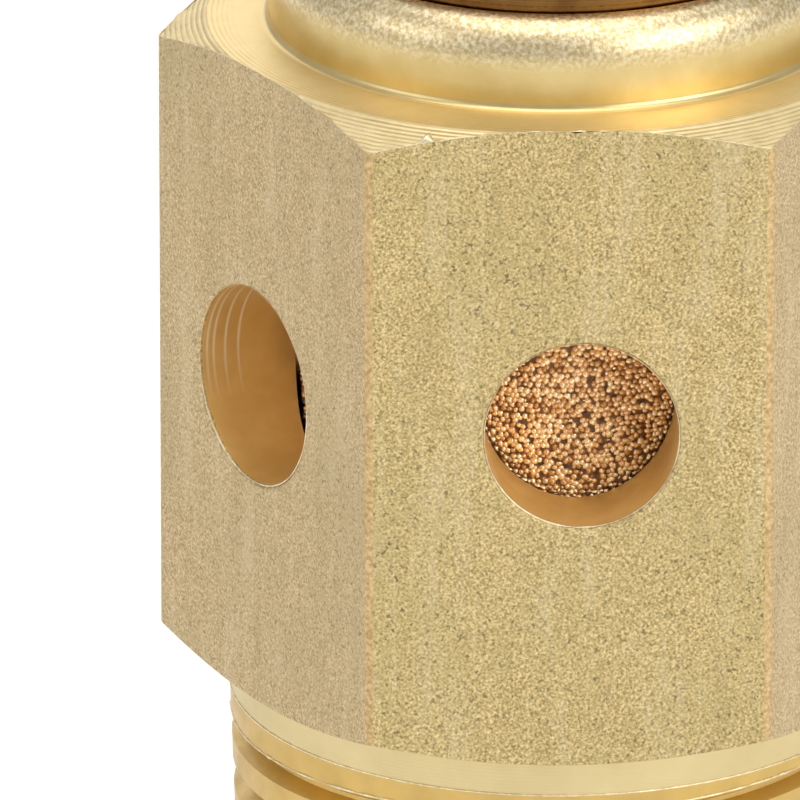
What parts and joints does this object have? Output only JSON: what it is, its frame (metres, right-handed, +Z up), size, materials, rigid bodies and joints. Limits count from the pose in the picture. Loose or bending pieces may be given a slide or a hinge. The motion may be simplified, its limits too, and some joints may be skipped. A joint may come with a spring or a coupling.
{
  "type": "pressure relief valve",
  "caption": "Brass hexagon relief valve: tapered male thread, side vents over a sintered silencer, spring-loaded poppet, crimped bonnet with an adjusting screw.",
  "frame": {"origin": "centre of the inlet end face, at the bottom of the valve", "axes": "+Z up along the valve axis from the inlet to the adjusting screw; -Y out through the front vent"},
  "size_m": [0.0206, 0.018, 0.0416],
  "materials": {
    "body_brass": "extruded flats dull and fine-grained, turned faces bright",
    "bonnet_bronze": "polished, darker brown",
    "sintered_bronze": "sintered beads, open and rough",
    "cage_brass": "turned",
    "nut_brass": "turned",
    "screw_brass": "turned",
    "poppet_brass": "turned",
    "seat_steel": "lapped",
    "screen_steel": "satin",
    "spring_steel": "drawn wire",
    "ball_steel": "polished",
    "seal_rubber": "moulded",
    "gasket_white": "plain white"
  },
  "bodies": {
    "housing": {"valve_body": "body_brass", "inlet_screen": "screen_steel", "inlet_retaining_ring": "screen_steel", "seat_oring": "seal_rubber", "seat_insert": "seat_steel", "lower_gasket": "gasket_white", "silencer_sleeve": "sintered_bronze", "spring_cage": "cage_brass", "upper_gasket": "gasket_white", "bonnet_cap": "bonnet_bronze", "bonnet_oring": "seal_rubber", "lock_washer": "nut_brass", "lock_nut": "nut_brass", "main_spring": "spring_steel"},
    "lift": {"poppet": "poppet_brass", "poppet_seal": "seal_rubber", "seal_washer": "screen_steel", "seal_screw": "screen_steel"},
    "follower": {"spring_button": "cage_brass", "thrust_ball": "ball_steel"},
    "adjuster": {"adjusting_screw": "screw_brass"}
  },
  "joints": [
    {"name": "poppet_lift", "type": "slide", "parent": "housing", "child": "lift", "axis": [0, 0, 1], "range_m": [0, 0.0016], "stiffness_N_per_m": 3500, "springref_m": -0.004, "deforming": ["main_spring"]},
    {"name": "button_travel", "type": "slide", "parent": "housing", "child": "follower", "axis": [0, 0, 1], "range_m": [0, 0.0007]},
    {"name": "screw_turn", "type": "hinge", "parent": "follower", "child": "adjuster", "pos_m": [0, 0, 0.0366], "axis": [0, 0, 1], "range_deg": [0, 360]}
  ],
  "couplings": [
    {"joint": "screw_turn", "follows": "button_travel", "rad_per_m": 8976}
  ]
}
